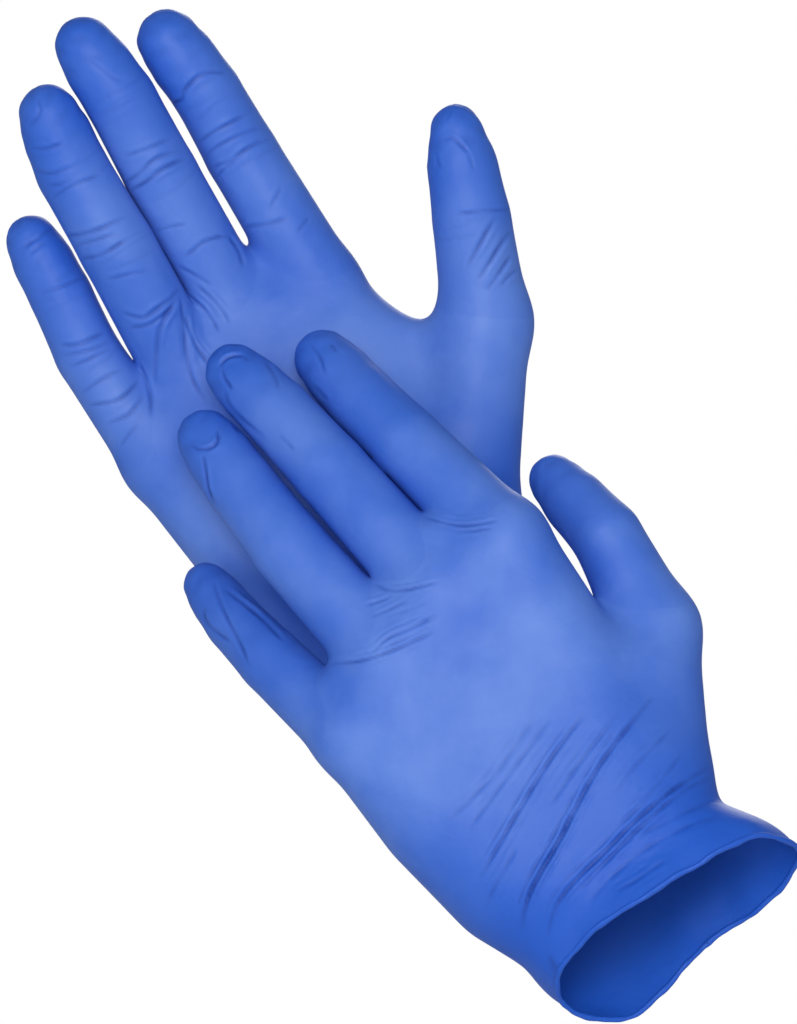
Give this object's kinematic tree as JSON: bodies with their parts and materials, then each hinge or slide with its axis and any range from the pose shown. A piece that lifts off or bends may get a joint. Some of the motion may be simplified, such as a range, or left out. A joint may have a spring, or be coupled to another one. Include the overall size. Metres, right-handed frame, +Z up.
{
  "type": "pair of disposable gloves",
  "caption": "Pair of thin elastic film gloves in worn shape, one laid across the palm of the other, each with jointed fingers, an open cuff and a rolled rim.",
  "frame": {"origin": "centre of the left glove's wrist section, where a hand enters the palm", "axes": "+X to the thumb side of both gloves across the pair, +Y from the back of the left glove through to the back of the right glove, +Z up along the fingers"},
  "size_m": [0.237, 0.1271, 0.2968],
  "materials": {
    "nitrile_film": "thin satin nitrile film"
  },
  "bodies": {
    "left palm": {"left_glove_palm": "nitrile_film"},
    "left cuff": {"left_glove_cuff": "nitrile_film", "left_glove_bead": "nitrile_film"},
    "left knuckles": {"left_glove_knuckles": "nitrile_film"},
    "left index mid": {"left_glove_index_mid": "nitrile_film"},
    "left index tip": {"left_glove_index_tip": "nitrile_film"},
    "left middle mid": {"left_glove_middle_mid": "nitrile_film"},
    "left middle tip": {"left_glove_middle_tip": "nitrile_film"},
    "left ring mid": {"left_glove_ring_mid": "nitrile_film"},
    "left ring tip": {"left_glove_ring_tip": "nitrile_film"},
    "left little mid": {"left_glove_little_mid": "nitrile_film"},
    "left little tip": {"left_glove_little_tip": "nitrile_film"},
    "left thumb mid": {"left_glove_thumb_mid": "nitrile_film"},
    "left thumb tip": {"left_glove_thumb_tip": "nitrile_film"},
    "right palm": {"right_glove_palm": "nitrile_film"},
    "right cuff": {"right_glove_cuff": "nitrile_film", "right_glove_bead": "nitrile_film"},
    "right knuckles": {"right_glove_knuckles": "nitrile_film"},
    "right index mid": {"right_glove_index_mid": "nitrile_film"},
    "right index tip": {"right_glove_index_tip": "nitrile_film"},
    "right middle mid": {"right_glove_middle_mid": "nitrile_film"},
    "right middle tip": {"right_glove_middle_tip": "nitrile_film"},
    "right ring mid": {"right_glove_ring_mid": "nitrile_film"},
    "right ring tip": {"right_glove_ring_tip": "nitrile_film"},
    "right little mid": {"right_glove_little_mid": "nitrile_film"},
    "right little tip": {"right_glove_little_tip": "nitrile_film"},
    "right thumb mid": {"right_glove_thumb_mid": "nitrile_film"},
    "right thumb tip": {"right_glove_thumb_tip": "nitrile_film"}
  },
  "joints": [
    {"name": "right_glove_lift_off", "type": "slide", "parent": "left palm", "child": "right palm", "axis": [0, 1, 0], "range_m": [0, 0.12]},
    {"name": "left_wrist", "type": "hinge", "parent": "left palm", "child": "left cuff", "pos_m": [0, 0, 0], "axis": [0.7986, 0, 0.6018], "range_deg": [-10, 15], "stiffness_Nm_per_rad": 0.05},
    {"name": "left_knuckles", "type": "hinge", "parent": "left palm", "child": "left knuckles", "pos_m": [-0.05573, -0.00088, 0.0723], "axis": [-0.6694, -0.0133, -0.7428], "range_deg": [-15, 0], "stiffness_Nm_per_rad": 0.1},
    {"name": "left_index_middle", "type": "hinge", "parent": "left knuckles", "child": "left index mid", "pos_m": [-0.06252, 0.02151, 0.13101], "axis": [-0.703, -0.0101, -0.7112], "range_deg": [-30, 0], "stiffness_Nm_per_rad": 0.01},
    {"name": "left_index_end", "type": "hinge", "parent": "left index mid", "child": "left index tip", "pos_m": [-0.07618, 0.03329, 0.14425], "axis": [-0.7169, -0.0088, -0.6972], "range_deg": [-18, 0], "stiffness_Nm_per_rad": 0.005},
    {"name": "left_middle_middle", "type": "hinge", "parent": "left knuckles", "child": "left middle mid", "pos_m": [-0.08521, 0.01984, 0.12264], "axis": [-0.7404, -0.0064, -0.6721], "range_deg": [-30, 8], "stiffness_Nm_per_rad": 0.01},
    {"name": "left_middle_end", "type": "hinge", "parent": "left middle mid", "child": "left middle tip", "pos_m": [-0.10125, 0.03171, 0.13975], "axis": [-0.7139, -0.0091, -0.7002], "range_deg": [-18, 4.8], "stiffness_Nm_per_rad": 0.005},
    {"name": "left_ring_middle", "type": "hinge", "parent": "left knuckles", "child": "left ring mid", "pos_m": [-0.09727, 0.01622, 0.09926], "axis": [-0.7675, -0.0035, -0.641], "range_deg": [-30, 12], "stiffness_Nm_per_rad": 0.01},
    {"name": "left_ring_end", "type": "hinge", "parent": "left ring mid", "child": "left ring tip", "pos_m": [-0.11206, 0.02789, 0.1183], "axis": [-0.7961, -0.0003, -0.6051], "range_deg": [-18, 7.2], "stiffness_Nm_per_rad": 0.005},
    {"name": "left_little_middle", "type": "hinge", "parent": "left knuckles", "child": "left little mid", "pos_m": [-0.10319, 0.02253, 0.06563], "axis": [-0.7082, -0.0096, -0.7059], "range_deg": [-30, 0], "stiffness_Nm_per_rad": 0.01},
    {"name": "left_little_end", "type": "hinge", "parent": "left little mid", "child": "left little tip", "pos_m": [-0.11415, 0.03512, 0.07723], "axis": [-0.7564, -0.0047, -0.6541], "range_deg": [-18, 0], "stiffness_Nm_per_rad": 0.005},
    {"name": "left_thumb_base", "type": "hinge", "parent": "left palm", "child": "left thumb mid", "pos_m": [0.01833, 0.01114, 0.07505], "axis": [-0.6956, -0.7184, -0.006], "range_deg": [-25, 0], "stiffness_Nm_per_rad": 0.02},
    {"name": "left_thumb_end", "type": "hinge", "parent": "left thumb mid", "child": "left thumb tip", "pos_m": [-0.00368, 0.02417, 0.09751], "axis": [-0.6544, -0.7505, -0.0923], "range_deg": [-15, 25], "stiffness_Nm_per_rad": 0.01},
    {"name": "right_wrist", "type": "hinge", "parent": "right palm", "child": "right cuff", "pos_m": [-0.0566, 0.06512, 0.0818], "axis": [-0.7986, 0, -0.6018], "range_deg": [-10, 15], "stiffness_Nm_per_rad": 0.05},
    {"name": "right_knuckles", "type": "hinge", "parent": "right palm", "child": "right knuckles", "pos_m": [-0.11081, 0.08652, 0.15207], "axis": [0.6705, 0.0298, 0.7413], "range_deg": [-15, 0], "stiffness_Nm_per_rad": 0.1},
    {"name": "right_index_middle", "type": "hinge", "parent": "right knuckles", "child": "right index mid", "pos_m": [-0.11041, 0.07298, 0.21515], "axis": [0.8696, -0.0205, 0.4933], "range_deg": [-5, 75], "stiffness_Nm_per_rad": 0.01},
    {"name": "right_index_end", "type": "hinge", "parent": "right index mid", "child": "right index tip", "pos_m": [-0.12003, 0.068, 0.23395], "axis": [0.8318, -0.0091, 0.555], "range_deg": [-3, 45], "stiffness_Nm_per_rad": 0.005},
    {"name": "right_middle_middle", "type": "hinge", "parent": "right knuckles", "child": "right middle mid", "pos_m": [-0.13384, 0.06635, 0.21012], "axis": [0.8735, -0.0217, 0.4863], "range_deg": [-5, 75], "stiffness_Nm_per_rad": 0.01},
    {"name": "right_middle_end", "type": "hinge", "parent": "right middle mid", "child": "right middle tip", "pos_m": [-0.14653, 0.06129, 0.23254], "axis": [0.8502, -0.0145, 0.5262], "range_deg": [-3, 45], "stiffness_Nm_per_rad": 0.005},
    {"name": "right_ring_middle", "type": "hinge", "parent": "right knuckles", "child": "right ring mid", "pos_m": [-0.148, 0.06322, 0.18778], "axis": [0.8695, -0.0205, 0.4934], "range_deg": [-5, 75], "stiffness_Nm_per_rad": 0.01},
    {"name": "right_ring_end", "type": "hinge", "parent": "right ring mid", "child": "right ring tip", "pos_m": [-0.16159, 0.06173, 0.21084], "axis": [0.8943, -0.0287, 0.4466], "range_deg": [-3, 45], "stiffness_Nm_per_rad": 0.005},
    {"name": "right_little_middle", "type": "hinge", "parent": "right knuckles", "child": "right little mid", "pos_m": [-0.15552, 0.07173, 0.15696], "axis": [0.8637, -0.0186, 0.5036], "range_deg": [-5, 75], "stiffness_Nm_per_rad": 0.01},
    {"name": "right_little_end", "type": "hinge", "parent": "right little mid", "child": "right little tip", "pos_m": [-0.16475, 0.07079, 0.17476], "axis": [0.8859, -0.0259, 0.4631], "range_deg": [-3, 45], "stiffness_Nm_per_rad": 0.005},
    {"name": "right_thumb_base", "type": "hinge", "parent": "right palm", "child": "right thumb mid", "pos_m": [-0.04163, 0.06546, 0.16561], "axis": [0.6537, -0.7566, -0.0153], "range_deg": [-10, 30], "stiffness_Nm_per_rad": 0.02},
    {"name": "right_thumb_end", "type": "hinge", "parent": "right thumb mid", "child": "right thumb tip", "pos_m": [-0.04525, 0.06177, 0.19598], "axis": [0.6417, -0.7667, 0.0201], "range_deg": [-10, 50], "stiffness_Nm_per_rad": 0.01}
  ],
  "couplings": [
    {"joint": "left_index_end", "follows": "left_index_middle", "ratio": 0.6},
    {"joint": "left_middle_end", "follows": "left_middle_middle", "ratio": 0.6},
    {"joint": "left_ring_end", "follows": "left_ring_middle", "ratio": 0.6},
    {"joint": "left_little_end", "follows": "left_little_middle", "ratio": 0.6},
    {"joint": "right_index_end", "follows": "right_index_middle", "ratio": 0.6},
    {"joint": "right_middle_end", "follows": "right_middle_middle", "ratio": 0.6},
    {"joint": "right_ring_end", "follows": "right_ring_middle", "ratio": 0.6},
    {"joint": "right_little_end", "follows": "right_little_middle", "ratio": 0.6}
  ]
}
